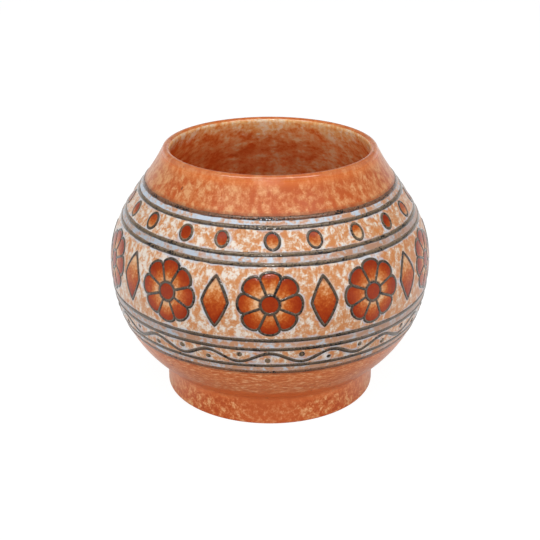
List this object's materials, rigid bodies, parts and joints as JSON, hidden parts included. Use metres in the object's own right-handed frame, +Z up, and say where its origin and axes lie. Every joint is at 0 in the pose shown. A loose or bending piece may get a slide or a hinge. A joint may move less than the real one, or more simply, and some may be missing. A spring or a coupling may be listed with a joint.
{
  "type": "vase",
  "caption": "Squat round glazed earthenware vase with a wide open mouth, a ring foot and raised slip lines around rows of beads, rosettes, lozenges and a wave.",
  "frame": {"origin": "on the vase's axis, level with the flat face that the foot stands on", "axes": "+Z up along the vase's axis, through the mouth; -Y is the front, with one rosette centred on it"},
  "size_m": [0.129, 0.1288, 0.1002],
  "materials": {
    "body_glaze": "gloss, mottled orange glaze, rust inside",
    "foot_glaze": "gloss, stippled deep orange glaze",
    "band_slip": "gloss, grey-brown slip under clear glaze",
    "motif_slip": "gloss, grey-brown slip under clear glaze"
  },
  "bodies": {
    "root": {"vase_body": "body_glaze", "foot_ring": "foot_glaze", "shoulder_line_upper": "band_slip", "shoulder_line_lower": "band_slip", "frieze_top_line_upper": "band_slip", "frieze_top_line_lower": "band_slip", "frieze_base_line_upper": "band_slip", "frieze_base_line_lower": "band_slip", "hem_line_upper": "band_slip", "hem_line_lower": "band_slip", "wave_line": "band_slip", "bead_outline_01": "motif_slip", "bead_outline_02": "motif_slip", "bead_outline_03": "motif_slip", "bead_outline_04": "motif_slip", "bead_outline_05": "motif_slip", "bead_outline_06": "motif_slip", "bead_outline_07": "motif_slip", "bead_outline_08": "motif_slip", "bead_outline_09": "motif_slip", "bead_outline_10": "motif_slip", "bead_outline_11": "motif_slip", "bead_outline_12": "motif_slip", "bead_outline_13": "motif_slip", "bead_outline_14": "motif_slip", "bead_outline_15": "motif_slip", "bead_outline_16": "motif_slip", "bead_outline_17": "motif_slip", "bead_outline_18": "motif_slip", "bead_outline_19": "motif_slip", "bead_outline_20": "motif_slip", "bead_outline_21": "motif_slip", "rosette_outline_01": "motif_slip", "rosette_outline_02": "motif_slip", "rosette_outline_03": "motif_slip", "rosette_outline_04": "motif_slip", "rosette_outline_05": "motif_slip", "rosette_outline_06": "motif_slip", "rosette_outline_07": "motif_slip", "rosette_outline_08": "motif_slip", "rosette_outline_09": "motif_slip", "rosette_outline_10": "motif_slip", "lozenge_outline_01": "motif_slip", "lozenge_outline_02": "motif_slip", "lozenge_outline_03": "motif_slip", "lozenge_outline_04": "motif_slip", "lozenge_outline_05": "motif_slip", "lozenge_outline_06": "motif_slip", "lozenge_outline_07": "motif_slip", "lozenge_outline_08": "motif_slip", "lozenge_outline_09": "motif_slip", "lozenge_outline_10": "motif_slip"}
  },
  "joints": []
}
